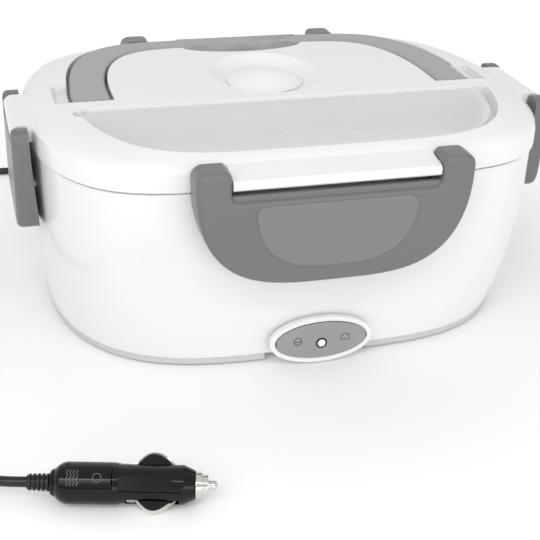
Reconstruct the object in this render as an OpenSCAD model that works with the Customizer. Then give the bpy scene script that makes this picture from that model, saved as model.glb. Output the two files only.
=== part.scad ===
// Electric lunch box: an oval heated housing with a steel food container, a lift-off lid
// with four flip latches and a fold-down carry handle, and a 12 V lead.
// Millimetres, +Z up, front at -Y, origin on the table under the middle of the box.

/* [Housing] */
// Width of the lid and of the housing's rim
lid_w = 228; // [210:1:250]
// Depth of the lid and of the housing's rim, front to back
lid_d = 168; // [156:1:184]
// Height of the seam between the housing and the lid
seam_z = 85; // [80:1:100]
// Inset of the housing's bottom edge from the lid's outline
taper = 7; // [4:0.5:8]
// Wall thickness of the housing
wall = 2.4; // [2:0.1:3]
// Thickness of the bottom cover
cover_t = 3.4; // [2.6:0.1:3.6]
// Inset of the bottom cover from the housing's bottom edge
cover_inset = 0.6; // [0.4:0.1:3]
// Diameter of a rubber foot
foot_d = 12; // [9:0.5:14]
// Standing height of a rubber foot
foot_h = 0.8; // [0.6:0.1:2]

/* [Container] */
// Sheet thickness of the steel container
steel_t = 0.8; // [0.6:0.1:1]
// Height of the container's floor above the table
floor_z = 24.5; // [24:0.5:28]
// Wall of the plastic tub that holds the container
tub_t = 1.8; // [1.5:0.1:2.2]
// Height of the side dish
dish_h = 44; // [30:1:48]
// Wall of the side dish
dish_t = 1.6; // [1.2:0.1:2]

/* [Lid] */
// Height of the lid above the seam
lid_h = 14; // [13:0.5:17]
// Wall thickness of the lid
lid_t = 2.2; // [1.8:0.1:2.6]
// Half width of the vent dish
vent_rx = 26; // [22:1:28]
// Half depth of the vent dish
vent_ry = 31; // [24:1:31]
// Radius of the vent cap
cap_r = 18; // [12:1:19]
// Depth of the cutlery well below its cover
well_h = 14; // [10:0.5:15]
// Thickness of the clear cutlery cover
clear_t = 1.6; // [1.2:0.1:2]

/* [Handle] */
// Width of the handle's arms
arm_w = 16; // [12:1:18]
// Width of the handle's crossbar
bar_w = 12; // [9:1:14]
// Thickness of the handle
handle_t = 7; // [6:0.5:7.5]
// Radius of the handle's pivot pins
handle_pin_r = 1.9; // [1.5:0.1:2.2]

/* [Latches] */
// Half width of the front and back latches
long_half = 57; // [50:1:62]
// Half width of the side latches
short_half = 30; // [26:1:34]
// Width of each latch ear
ear_w = 14; // [12:0.5:16]
// Distance from the lid's edge to the outer face of a long latch
long_reach = 12.5; // [11.5:0.5:14]
// Distance from the lid's edge to the outer face of a short latch
short_reach = 7; // [5.5:0.5:7]
// Height of the lower edge of the long latches
long_low = 47; // [44:0.5:56]
// Height of the lower edge of the short latches
short_low = 51.5; // [48:0.5:60]
// Skin thickness of the latches
latch_t = 2.2; // [1.8:0.1:2.4]

/* [Panels] */
// Half width of the oval lamp panel
panel_rx = 20.4; // [16:0.2:24]
// Half height of the oval lamp panel
panel_rz = 8.6; // [7:0.2:9.4]
// Radius of the lamp's lens
lens_r = 1.7; // [1.2:0.1:2.4]

/* [Lead] */
// Diameter of the 12 V lead
cord_d = 3.8; // [3.6:0.2:5]
// Diameter of the car plug's body
plug_d = 15; // [14.6:0.2:18]
// Length of the car plug's body
plug_l = 51; // [48:1:60]

/* [Hidden] */
$fn = 48;

// Fits and clearances
run_gap = 0.06;   // radial gap of a pin that turns
slip_gap = 0.3;   // gap between faces of pieces that move apart
fit_gap = 0.2;    // gap round a piece that is set in a pocket
eps = 0.5;        // how far a cut runs past the face it opens

// Outline shape: |x/a|^p + |y/b|^q = 1, with rounder corners at the bottom
lid_p = 6;
base_p = 3.9;
side_q = 2;
rim_n = 72;
a0 = lid_w / 2;
b0 = lid_d / 2;

// Heights
base_z = foot_h + cover_t;          // housing's bottom edge
lip_t = 2;                          // inward lip at the housing's bottom
lip_w = 9;
flange_gap = 0.4;                   // lid edge above the container's flange
flange_z = seam_z - flange_gap - steel_t;
rim_in = 1;                         // rim of the housing inside the lid's outline
tub_flange_t = 1.5;
tub_seat = 1.3;
tub_in = 5;                         // tub's wall inside the housing's rim
tub_floor_z = floor_z - 2.5;
tub_draft = 6;
pot_gap = 1;                        // container's wall inside the tub's
pot_in = tub_in + tub_t + pot_gap;
pot_draft = 7;
top_z = seam_z + lid_h;

function sgn(v) = v < 0 ? -1 : 1;
function power(c, e) = sgn(c) * pow(abs(c), e);
function oval(a, b, p, q, n = rim_n) =
    [for (i = [0 : n - 1]) [a * power(cos(360 * i / n), 2 / p), b * power(sin(360 * i / n), 2 / q)]];
function rim(inset) = oval(a0 - inset, b0 - inset, lid_p, side_q);

// The housing's side curve: t is 0 at the bottom edge and 1 at the rim
swell = 2.4;
function side_k(t) = 1 - pow(1 - t, swell);
function side_t(z) = max(0, min(1, (z - base_z) / (flange_z - base_z)));
function side_in(t) = taper + (rim_in - taper) * side_k(t);
function side_p(t) = base_p + (lid_p - base_p) * side_k(t);
function body_ring(t, inset) =
    oval(a0 - side_in(t) - inset, b0 - side_in(t) - inset, side_p(t), side_q);
function wall_b(z) = b0 - side_in(side_t(z));

// Joins rings of equal length, each [outline, height], into one closed solid
module loft(rings) {
    n = len(rings[0][0]);
    m = len(rings);
    points = [for (r = rings) for (p = r[0]) [p[0], p[1], r[1]]];
    bottom = [[for (i = [0 : n - 1]) i]];
    top = [[for (i = [0 : n - 1]) m * n - 1 - i]];
    sides = [for (k = [0 : m - 2]) for (i = [0 : n - 1])
        [k * n + i, (k + 1) * n + i, (k + 1) * n + (i + 1) % n, k * n + (i + 1) % n]];
    polyhedron(points, concat(bottom, sides, top), convexity = 6);
}

// A flat band between two outlines
module band(outer, inner, z, h) {
    translate([0, 0, z]) linear_extrude(h) difference() {
        polygon(outer);
        polygon(inner);
    }
}

module slab(outline, z, h) {
    translate([0, 0, z]) linear_extrude(h) polygon(outline);
}

// 2D drawing in (y, z), run along X
module along_x(x0, x1) {
    translate([x0, 0, 0]) rotate([90, 0, 90]) linear_extrude(x1 - x0) children();
}

// 2D drawing in (x, z), run from y0 forward to y1
module along_y(y0, y1) {
    translate([0, y0, 0]) rotate([90, 0, 0]) linear_extrude(y0 - y1) children();
}

module rod_x(x0, x1, r) {
    translate([x0, 0, 0]) rotate([0, 90, 0]) cylinder(r = r, h = x1 - x0);
}

module rod_y(y0, y1, r) {
    translate([0, y0, 0]) rotate([90, 0, 0]) cylinder(r = r, h = y0 - y1);
}

module corners(x, y) {
    for (i = [-1, 1], j = [-1, 1]) translate([i * x, j * y, 0]) children();
}

// A tube swept along points
function unit(v) = v / norm(v);
function tangent(p, i) = unit(p[min(i + 1, len(p) - 1)] - p[max(i - 1, 0)]);
function tube_ring(p, i, r, n) =
    let (t = tangent(p, i), s = unit(cross(t, [0, 0, 1])), u = cross(s, t))
    [for (k = [0 : n - 1]) p[i] + r * (cos(360 * k / n) * s + sin(360 * k / n) * u)];
module tube(p, r, n = 10) {
    m = len(p);
    points = [for (i = [0 : m - 1]) each tube_ring(p, i, r, n)];
    caps = [[for (k = [0 : n - 1]) k], [for (k = [0 : n - 1]) m * n - 1 - k]];
    sides = [for (i = [0 : m - 2]) for (k = [0 : n - 1])
        [i * n + k, (i + 1) * n + k, (i + 1) * n + (k + 1) % n, i * n + (k + 1) % n]];
    polyhedron(points, concat(caps, sides), convexity = 6);
}

// ---- housing ----

// Oval pads low on the front and back that carry the lamp panel and the inlets
pad_grow = 2.3;
pad_z = 11.8;
pad_rx = panel_rx + pad_grow;
pad_rz = panel_rz + pad_grow;
lens_z = pad_z - 1.4;               // the lamp sits a little below the panel's middle
pad_y = b0 - 0.5;                   // face of the pads
panel_t = 0.8;
panel_sink = 0.5;
inlet_rx = 30;
inlet_rz = 10.8;

module pad(rx, rz, z) {
    translate([0, 0, z]) along_y(-wall_b(base_z + lip_t) + wall + 6, -pad_y) polygon(oval(rx, rz, 2, 2));
}

// Catch ridges that the latch hooks close under
ridge_z = 67;
ridge_h = 2;
ridge_out = 0.6;
module ridge(half, edge) {
    translate([-half, -edge + ridge_out, ridge_z]) cube([2 * half, 3, ridge_h]);
}

screw_inset = [54, 31];              // base screws in from the lid's outline
foot_inset = 40;                    // feet in from the lid's outline
module screw_spots() {
    corners(a0 - screw_inset[0], b0 - screw_inset[1]) children();
}
boss_r = 4;
screw_r = 1.45;
screw_head_r = 2.8;
screw_head_t = 1.5;
screw_l = 11;

// Inlets
ac_x = -15;
dc_x = 15;
inlet_z = 13.2;
ac_w = 16;
ac_h = 8;
dc_bore = 2.85;
socket_wall = 1.6;

module socket_outline(w, h, grow) {
    hull_r = h / 2 + grow;
    for (i = [-1, 1]) translate([i * (w - h) / 2, 0]) circle(hull_r);
    square([w - h, 2 * hull_r], center = true);
}

module outer_housing() {
    color("white") difference() {
        union() {
            difference() {
                loft([for (t = [0, 0.04, 0.1, 0.2, 0.35, 0.55, 0.78, 1])
                    [body_ring(t, 0), base_z + t * (flange_z - base_z)]]);
                loft([for (t = [0.025, 0.1, 0.2, 0.35, 0.55, 0.78, 1.02])
                    [body_ring(min(t, 1), wall), base_z + t * (flange_z - base_z)]]);
                slab(body_ring(0, lip_w), base_z - eps, 2 * lip_t + eps);
                slab(rim(rim_in + tub_seat), flange_z - tub_flange_t, tub_flange_t + eps);
            }
            difference() {
                pad(pad_rx, pad_rz, pad_z);
                pad_hollow();
            }
            rotate([0, 0, 180]) difference() {
                pad(inlet_rx, inlet_rz, pad_z);
                pad_hollow();
            }
            for (s = [0, 180]) rotate([0, 0, s]) ridge(long_half - 2 * ear_w, b0);
            translate([0, -short_shift, 0]) for (s = [90, 270]) rotate([0, 0, s]) ridge(short_half - ear_w, a0);
        }
        // seat of the lamp panel and the hole for its lens
        translate([0, 0, pad_z])
            along_y(-pad_y + panel_sink, -pad_y - eps) polygon(oval(panel_rx + fit_gap, panel_rz + fit_gap, 2, 2));
        translate([0, 0, lens_z]) rod_y(-b0 + 20, -b0 - 2, lens_r + fit_gap);
        // windows of the two inlets
        rotate([0, 0, 180]) translate([-ac_x, 0, inlet_z])
            along_y(-b0 + 20, -b0 - 2) socket_outline(ac_w, ac_h, socket_wall + fit_gap);
        rotate([0, 0, 180]) translate([-dc_x, 0, inlet_z])
            rod_y(-b0 + 20, -b0 - 2, dc_bore + socket_wall + fit_gap);
    }
}

// Room behind a pad, so that the pads are shells and not blocks
module pad_hollow() {
    translate([-a0, -pad_y + wall, base_z + lip_t]) cube([lid_w, 30, 60]);
    translate([-a0, -wall_b(base_z) + lip_w, -eps]) cube([lid_w, 30, 60]);
}

module base_cover() {
    outline = body_ring(0, cover_inset);
    color("gainsboro") difference() {
        slab(outline, foot_h, cover_t);
        pad_notch(pad_rx);
        rotate([0, 0, 180]) pad_notch(inlet_rx);
        corners(a0 - foot_inset, b0 - foot_inset) translate([0, 0, foot_h - eps])
            cylinder(d = foot_d + 2 * run_gap, h = eps + 1);
        screw_spots() translate([0, 0, foot_h - eps]) cylinder(r = screw_r + fit_gap, h = cover_t + 2 * eps);
        screw_spots() translate([0, 0, foot_h - eps])
            cylinder(r = screw_head_r + fit_gap, h = screw_head_t + eps);
        for (x = [-30 : 10 : 30]) translate([x - 1.5, -20, foot_h - eps]) cube([3, 40, cover_t + 2 * eps]);
    }
}

module pad_notch(rx) {
    translate([-rx - fit_gap, -b0 - 1, 0]) cube([2 * (rx + fit_gap), 1 + taper + lip_w, 12]);
}

module feet() {
    color("dimgray") corners(a0 - foot_inset, b0 - foot_inset) cylinder(d = foot_d, h = foot_h + 1);
}

module base_screws() {
    color("silver") screw_spots() translate([0, 0, foot_h]) {
        cylinder(r = screw_head_r, h = screw_head_t);
        cylinder(r = screw_r, h = screw_l);
    }
}

function tub_ring(z, inset) =
    let (k = (z - tub_floor_z) / (flange_z - tub_floor_z), d = rim_in + tub_in + tub_draft * (1 - k) + inset)
    oval(a0 - d, b0 - d, base_p + (lid_p - base_p) * k, side_q);

tub_hole_r = 44;

module inner_tub() {
    color("whitesmoke") difference() {
        union() {
            loft([for (z = [tub_floor_z - tub_t, tub_floor_z + 12, flange_z - 20, flange_z]) [tub_ring(z, 0), z]]);
            slab(rim(rim_in + tub_seat + run_gap), flange_z - tub_flange_t + 0.02, tub_flange_t - 0.02);
            screw_spots() translate([0, 0, base_z]) cylinder(r = boss_r, h = tub_floor_z - base_z);
        }
        loft([for (z = [tub_floor_z, tub_floor_z + 12, flange_z - 20, flange_z + eps]) [tub_ring(z, tub_t), z]]);
        cylinder(r = tub_hole_r, h = tub_floor_z + eps);
        screw_spots() cylinder(r = screw_r + run_gap, h = foot_h + screw_l + 1);
    }
}

// ---- heater ----

plate_r = tub_hole_r + 4;
plate_t = floor_z - tub_floor_z;
ptc_w = 36;
ptc_d = 20;
ptc_t = 6;
ptc_y = 14.5;
ptc_z = tub_floor_z - ptc_t;
pad_t = 0.8;
clamp_t = 1.2;
clamp_y = 31;
clamp_foot = 8;
clamp_screw_r = 1.4;

module heater_plate() {
    color("lightgray") difference() {
        translate([0, 0, tub_floor_z]) cylinder(r = plate_r, h = plate_t);
        for (j = [-1, 1]) translate([0, j * clamp_y, tub_floor_z - eps]) cylinder(r = clamp_screw_r + run_gap, h = 2);
    }
}

module ptc_heaters() {
    color("tan") for (j = [-1, 1])
        translate([-ptc_w / 2, j * ptc_y - ptc_d / 2, ptc_z]) cube([ptc_w, ptc_d, ptc_t]);
}

module insulation_pad() {
    color("wheat") translate([-ptc_w / 2, -ptc_y - ptc_d / 2, ptc_z - pad_t])
        cube([ptc_w, 2 * ptc_y + ptc_d, pad_t]);
}

// A sprung steel bridge that presses the two heaters against the plate
module heater_clamp() {
    z0 = ptc_z - pad_t - clamp_t;
    y1 = clamp_y + clamp_foot / 2;
    y0 = clamp_y - clamp_foot / 2;
    half = [[0, z0], [y0, z0], [y0, tub_floor_z - clamp_t], [y1, tub_floor_z - clamp_t],
            [y1, tub_floor_z], [y0 - clamp_t, tub_floor_z], [y0 - clamp_t, z0 + clamp_t], [0, z0 + clamp_t]];
    color("silver") difference() {
        for (m = [0, 1]) mirror([0, m, 0]) along_x(-6, 6) polygon(half);
        for (j = [-1, 1]) translate([0, j * clamp_y, z0]) cylinder(r = clamp_screw_r + run_gap, h = 20);
    }
}

module clamp_screws() {
    color("gray") for (j = [-1, 1]) translate([0, j * clamp_y, tub_floor_z - clamp_t]) {
        translate([0, 0, -1.6]) cylinder(r = 2.6, h = 1.6);
        cylinder(r = clamp_screw_r, h = clamp_t + 1.2);
    }
}

module thermostat() {
    color("dimgray") translate([30, 0, tub_floor_z]) {
        translate([0, 0, -2]) cylinder(r = 6, h = 2);
        translate([0, 0, -8]) cylinder(r = 7.5, h = 6);
        for (j = [-1, 1]) translate([-0.4, j * 4 - 1.5, -12]) cube([0.8, 3, 4]);
    }
}

module thermal_fuse() {
    color("ivory") translate([-30, 8, tub_floor_z - 2.2]) {
        rod_y(0, -16, 2);
        translate([-3, -11, -0.6]) cube([6, 6, 2.8]);
    }
}

// Internal wires: routes from the inlets and the thermostat to the heaters
wire_r = 1;
wire_y = pad_y - 17.8;              // just behind the inlets' pins
wire_routes = [
    [[ac_x - 4, wire_y, inlet_z], [ac_x - 7, wire_y - 6, 12], [ac_x - 9, wire_y / 2 + 15, 11],
     [ac_x - 9, 36, 12], [-22, 26, 15.5], [-19.2, 18, 18]],
    [[ac_x + 4, wire_y, inlet_z], [ac_x + 7, wire_y - 8, 9], [0, wire_y / 2 + 17, 8], [14, 40, 8],
     [26, 24, 8.5], [30, 5, 9]],
    [[dc_x, wire_y, inlet_z], [dc_x + 7, wire_y - 8, 10], [34, wire_y / 2 + 13, 9], [44, 26, 9], [45, 0, 9],
     [40, -20, 12], [28, -20, 16], [19.2, -18, 18]],
    [[30, -5, 9], [34, -22, 8], [24, -44, 8], [12, 24 - b0, 9], [6, 16 - b0, pad_z]]];

module wiring() {
    color("firebrick") for (route = wire_routes) tube(route, wire_r, 8);
}

// ---- lamp ----

board_y = b0 - 12;
led_r = 1.5;

module lamp_board() {
    color("darkgreen") translate([-12, -board_y, pad_z - 5]) cube([24, 1.2, 10]);
}

module lamp_led() {
    color("lightyellow") translate([0, 0, lens_z]) rod_y(-board_y, -board_y - 5, led_r);
}

module lamp_lens() {
    color("white") translate([0, 0, lens_z]) rod_y(-board_y - 5.2, -pad_y - 0.6, lens_r);
}

module lamp_bezel() {
    color("black") translate([0, 0, lens_z]) difference() {
        rod_y(-pad_y + panel_sink - panel_t, -pad_y - 0.5, lens_r + 0.75);
        rod_y(-pad_y + panel_sink + eps, -pad_y - 0.5 - eps, lens_r + run_gap);
    }
}

module lamp_panel() {
    color("darkgray") translate([0, 0, pad_z]) difference() {
        along_y(-pad_y + panel_sink, -pad_y + panel_sink - panel_t) polygon(oval(panel_rx, panel_rz, 2, 2));
        translate([0, 0, lens_z - pad_z]) rod_y(-pad_y + panel_sink + eps, -pad_y - 1, lens_r + run_gap);
    }
}

// ---- inlets ----

ac_depth = 14;
pin_pitch = 8.6;

module ac_inlet() {
    color("black") translate([ac_x, pad_y, inlet_z]) difference() {
        along_y(-0.2, -ac_depth - socket_wall) socket_outline(ac_w, ac_h, socket_wall);
        along_y(eps, -ac_depth) socket_outline(ac_w, ac_h, 0);
        for (i = [-1, 1]) translate([i * pin_pitch / 2, 0, 0])
            rod_y(0, -ac_depth - 3, 1.18 + run_gap);
    }
}

module ac_pins() {
    color("silver") translate([ac_x, pad_y, inlet_z]) for (i = [-1, 1])
        translate([i * pin_pitch / 2, 0, 0]) rod_y(-4, -ac_depth - 3, 1.18);
}

module dc_inlet() {
    color("black") translate([dc_x, pad_y, inlet_z]) difference() {
        rod_y(-0.2, -ac_depth - socket_wall, dc_bore + socket_wall);
        rod_y(eps, -ac_depth, dc_bore);
        rod_y(0, -ac_depth - 3, 1.05 + run_gap);
    }
}

module dc_pin() {
    color("silver") translate([dc_x, pad_y, inlet_z]) rod_y(-3, -ac_depth - 3, 1.05);
}

// ---- container ----

function pot_ring(z, inset) =
    let (k = (z - floor_z) / (flange_z - floor_z), d = rim_in + pot_in + pot_draft * (1 - k) + inset)
    oval(a0 - d, b0 - d, base_p + (lid_p - base_p) * k, side_q);
flange_in = rim_in + 0.6;

module food_container() {
    color("silver") difference() {
        union() {
            loft([for (z = [floor_z, floor_z + 6, floor_z + 30, flange_z + steel_t]) [pot_ring(z, 0), z]]);
            slab(rim(flange_in), flange_z, steel_t);
        }
        loft([for (z = [floor_z + steel_t, floor_z + 6, floor_z + 30, flange_z + steel_t + eps])
            [pot_ring(z, steel_t), z]]);
    }
}

dish_gap = 1.2;
dish_x = 4;
module dish_form(inset) {
    z0 = floor_z + steel_t;
    intersection() {
        loft([for (z = [z0, z0 + 6, z0 + dish_h]) [pot_ring(z, steel_t + dish_gap + inset), z + inset]]);
        translate([dish_x + inset, -b0, 0]) cube([a0, lid_d, 200]);
    }
}

module side_dish() {
    color("whitesmoke") difference() {
        dish_form(0);
        dish_form(dish_t);
    }
}

// ---- lid ----

// The lid's edge profile: each [inset from the outline, drop below the top]
edge_drops = [[0, lid_h], [0, 7.5], [0.6, 5.2], [2.2, 3.6], [5, 2.4], [10, 1], [17, 0]];

function cover_z() = top_z - 1.7;   // top of the clear cover
cover_back = 17.5;
cover_side = 20.5;
cover_front = 8;
cover_r = 6;
cover_p = 5.5;
cover_lip = 3;
well_in = 15;                       // front wall of the well inside the lid's outline
well_wall = 1.8;
// D-shaped plan: a bulged front and a straight back edge with round corners
function d_plan(inset) =
    let (a = a0 - cover_side - inset, b = b0 - cover_front - inset, r = max(1, cover_r - inset),
         y1 = -cover_back - inset, t0 = asin(-(y1 - r) / b), xs = a * pow(cos(t0), 2 / cover_p))
    concat(
        [for (i = [0 : 30]) let (t = 180 + t0 + i * (180 - 2 * t0) / 30)
            [a * power(cos(t), 2 / cover_p), b * sin(t)]],
        [for (i = [1 : 5]) [xs - r + r * cos(i * 18), y1 - r + r * sin(i * 18)]],
        [for (i = [0 : 4]) [-xs + r + r * cos(90 + i * 18), y1 - r + r * sin(90 + i * 18)]]);

// Plan of the cutlery well, and of the finger gaps at the ends of its cover
module well_plan(grow) {
    intersection() {
        polygon(d_plan(cover_lip - grow));
        polygon(rim(well_in - grow));
    }
}
nick_z = cover_z() - 5;
nick_at = [cover_side - a0 + 3, -cover_back - 7];
module nick_plan(grow) {
    translate([3, 0]) polygon(d_plan(-grow));
    translate(nick_at) circle(4 + grow);
}

// U-shaped plan of the handle, open to the front
hand_a = a0 - 22;
hand_b = b0 - 7;
hand_q = 2.2;
function half_oval(a, b, y) = concat([[a, y]],
    [for (i = [0 : 36]) [a * power(cos(i * 5), 2 / lid_p), b * power(sin(i * 5), 2 / hand_q)]], [[-a, y]]);
function reversed(p) = [for (i = [len(p) - 1 : -1 : 0]) p[i]];
function u_plan(grow, y) = concat(half_oval(hand_a + grow, hand_b + grow, y),
    reversed(half_oval(hand_a - arm_w - grow, hand_b - bar_w - grow, y)));

hand_gap = 1.3;
hand_top = top_z + 0.4;
hand_z = hand_top - handle_t;
pivot_y = -5.5;
pivot_r = handle_t / 2;
recess_z = hand_z - 0.8;
recess_y = pivot_y - pivot_r - 0.8;
hand_pin_x = hand_a - arm_w - 3;
thumb_w = 7.5;
thumb_l = 24;
thumb_h = 4.5;
trough_rx = 31;
trough_ry = 12.5;
trough_y = hand_b - bar_w;

dish_y = 18.5;
vent_z = top_z - 4.8;
cap_y = dish_y;
cap_h = 5.5;
cap_ball = (cap_r * cap_r + cap_h * cap_h) / (2 * cap_h);
stem_r = 4.8;
stem_l = 7;

// Hinge bars along the four edges
long_bar = long_half - ear_w - 0.5;
short_bar = short_half - ear_w + 4.5;
short_shift = 6;                    // the side latches sit a little ahead of the middle
long_pivot = [-6.5, seam_z + 6];
short_pivot = [-3, seam_z + 7.2];
long_ear_r = 6;
short_ear_r = 4;
short_bar_r = 3.8;
long_pin_r = 2.4;
short_pin_r = 1.6;
pin_l = 7;
ear_room = 0.4;
short_ear_w = short_half - short_bar - 0.5;

// One hinge bar: w half length, reach its front face, low its bottom height
module hinge_bar(w, reach, pivot, pin_r) {
    low = seam_z + 3.8;
    front = seam_z + 7.6;
    along_x(-w, w) polygon([[2.4, low], [-reach + 0.8, low], [-reach, low + 0.8], [-reach, front - 0.6],
        [-reach + 0.8, front + 0.3], [1.5, top_z - 3.8], [2.4, top_z - 4.5]]);
    translate([0, pivot[0], pivot[1]]) rod_x(-w - pin_l, w + pin_l, pin_r);
}

// The short bar is a barrel level with the ears, on a web that runs into the lid
module barrel_bar(w, pivot, r, pin_r) {
    along_x(-w, w) {
        translate([pivot[0], pivot[1]]) circle(r);
        polygon([[2.2, pivot[1] - r + 0.4], [pivot[0], pivot[1] - r], [pivot[0], pivot[1] + r],
            [4.4, pivot[1] + r + 0.1], [4.4, pivot[1] + 2.2], [2.2, pivot[1] + 0.4]]);
    }
    translate([0, pivot[0], pivot[1]]) rod_x(-w - pin_l, w + pin_l, pin_r);
}

// Space in the lid's edge for the two ears of a latch
module ear_pockets(w, half, pivot, ear_r) {
    for (m = [0, 1]) mirror([m, 0, 0]) translate([w, pivot[0], pivot[1]]) {
        rod_x(0, half - w + ear_room, ear_r + ear_room);
        translate([0, -20, -20]) cube([half - w + ear_room, 20 + ear_r + ear_room, 20]);
    }
}

module at_edges_long() {
    for (s = [0, 180]) rotate([0, 0, s]) translate([0, -b0, 0]) children();
}

module at_edges_short() {
    translate([0, -short_shift, 0]) for (s = [90, 270]) rotate([0, 0, s]) translate([0, -a0, 0]) children();
}

module lid_form(inset, low) {
    n = len(edge_drops);
    loft([for (i = [0 : n - 1]) [rim(edge_drops[i][0] + inset),
        i == 0 ? low : top_z - edge_drops[i][1] - inset]]);
}

module lid_shell() {
    color("white") difference() {
        union() {
            difference() {
                lid_form(0, seam_z);
                lid_form(lid_t, seam_z - eps);
            }
            slab(u_plan(hand_gap + well_wall, recess_y - well_wall), recess_z - well_wall,
                 top_z - 2 - recess_z + well_wall);
            translate([0, 0, cover_z() - clear_t - well_h - well_wall]) linear_extrude(well_h + well_wall)
                well_plan(well_wall);
            slab(d_plan(-well_wall), cover_z() - clear_t - well_wall, well_wall + 0.5);
            translate([0, 0, nick_z - well_wall]) linear_extrude(cover_z() - nick_z + well_wall - 0.3)
                nick_plan(well_wall);
            translate([0, 0, recess_z - well_wall]) linear_extrude(top_z - 2 - recess_z + well_wall)
                translate([0, trough_y]) polygon(oval(trough_rx + well_wall, trough_ry + well_wall, 2, 2));
            slab([for (p = oval(vent_rx + well_wall, vent_ry + well_wall, 2, 2)) p + [0, dish_y]],
                 vent_z - well_wall, well_wall + 3);
            for (m = [0, 1]) mirror([m, 0, 0]) thumb_pocket(well_wall, vent_z - well_wall, 4);
            at_edges_long() hinge_bar(long_bar, long_reach - 1, long_pivot, long_pin_r);
            at_edges_short() barrel_bar(short_bar, short_pivot, short_bar_r, short_pin_r);
        }
        slab(u_plan(hand_gap, recess_y), recess_z, 20);
        slab([for (p = oval(trough_rx, trough_ry, 2, 2)) p + [0, trough_y]], recess_z, 20);
        slab(d_plan(0), cover_z() - clear_t, 20);
        difference() {
            translate([0, 0, cover_z() - clear_t - well_h]) linear_extrude(well_h + eps) well_plan(0);
            for (x = post_x) translate([x - post_w / 2, post_y, 0]) cube([post_w, post_l, cover_z() - clear_t - 1.2]);
        }
        translate([0, 0, nick_z]) linear_extrude(20) difference() {
            nick_plan(0);
            polygon(d_plan(1));
        }
        slab([for (p = oval(vent_rx, vent_ry, 2, 2)) p + [0, dish_y]], vent_z, 20);
        for (m = [0, 1]) mirror([m, 0, 0]) thumb_pocket(0, top_z - thumb_h, 20);
        translate([0, cap_y, 0]) cylinder(r = stem_r + run_gap, h = 200);
        for (m = [0, 1]) mirror([m, 0, 0]) translate([hand_pin_x, pivot_y, hand_z + pivot_r])
            rod_x(-0.2, 6, handle_pin_r + run_gap);
        at_edges_short() ear_pockets(short_bar + 0.2, short_half, short_pivot, short_ear_r);
    }
}

// Two upright posts in the well keep the cutlery from rattling
post_x = [-28, 20];
post_y = -46;
post_w = 2.4;
post_l = 7;

// Shallow scoop outside a handle arm
module thumb_pocket(grow, z, h) {
    x0 = hand_a + hand_gap - 0.5;
    r = 3;
    translate([0, 0, z]) linear_extrude(h) {
        translate([x0 - grow, recess_y - grow]) square([thumb_w - r + 2 * grow, thumb_l + 2 * grow]);
        translate([x0, recess_y - grow]) square([thumb_w + grow, thumb_l - r]);
        translate([x0 + thumb_w - r, recess_y + thumb_l - r]) circle(r + grow);
    }
}

liner_z = seam_z + 3;
liner_t = 1.6;
liner_in = lid_t + 0.4;
seal_in = 4.5;
seal_w = 4;
bulge_gap = 0.3;
module lid_liner() {
    well_low = cover_z() - clear_t - well_h - well_wall;
    color("whitesmoke") difference() {
        union() {
            slab(rim(liner_in), liner_z, liner_t);
            band(rim(seal_in + seal_w + 0.2), rim(seal_in + seal_w + 2), flange_z + steel_t + slip_gap,
                 liner_z - flange_z - steel_t);
            translate([0, 0, well_low - bulge_gap - liner_t]) linear_extrude(liner_z - well_low + bulge_gap + liner_t)
                well_plan(well_wall + bulge_gap + liner_t);
        }
        translate([0, 0, well_low - bulge_gap]) linear_extrude(20) well_plan(well_wall + bulge_gap);
        translate([0, cap_y, 0]) cylinder(r = stem_r + 0.4, h = 200);
    }
}

module lid_seal() {
    color("lightgray") band(rim(seal_in), rim(seal_in + seal_w), flange_z + steel_t + slip_gap,
        liner_z - flange_z - steel_t - slip_gap);
}

module vent_cap() {
    dome = [for (i = [0 : 8]) let (t = i * asin(cap_r / cap_ball) / 8)
        [cap_ball * sin(t), cap_h - cap_ball + cap_ball * cos(t)]];
    color("white") translate([0, cap_y, vent_z + slip_gap]) difference() {
        union() {
            rotate_extrude() polygon(concat([[0, 0]], dome));
            translate([0, 0, -stem_l]) cylinder(r = stem_r, h = stem_l + 1);
        }
        translate([0, 0, -stem_l - eps]) cylinder(r = stem_r - 1.6, h = stem_l);
        for (s = [0, 90]) rotate([0, 0, s]) translate([-stem_r - 1, -1, -stem_l + 1]) cube([2 * stem_r + 2, 2, 3]);
    }
}

module cutlery_cover() {
    color("whitesmoke", 0.5) difference() {
        slab(d_plan(slip_gap), cover_z() - clear_t + 0.05, clear_t - 0.05);
        // shallow half-moon for a fingertip
        slab([for (p = oval(lift_rx, lift_ry, 2, 2)) p + [0, cover_front + 1.5 - b0]], cover_z() - lift_t, 5);
    }
}
lift_rx = 23;
lift_ry = 18;
lift_t = 0.7;

module carry_handle() {
    color("darkgray") {
        slab(u_plan(0, pivot_y), hand_z, handle_t);
        for (m = [0, 1]) mirror([m, 0, 0]) translate([0, pivot_y, hand_z + pivot_r]) {
            rod_x(hand_a - arm_w, hand_a, pivot_r);
            rod_x(hand_pin_x, hand_a - arm_w + 1, handle_pin_r);
        }
    }
}

// ---- latches ----

// D-shaped flap outline in (x, z) between the heights low and high
function flap(half, low, high, p = 3.6, q = 2.3) =
    [for (i = [0 : 40]) let (t = i * 4.5)
        [half * power(cos(t), 2 / p), high - (high - low) * power(sin(t), 2 / q)]];

flap_top = 4.2;                     // top edge of the flap below the pivot
step_in = 1.5;                      // depth of the shaded step under the bar
badge_out = 0.5;                    // raised D panel on the flap
hook_t = 2.4;

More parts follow.
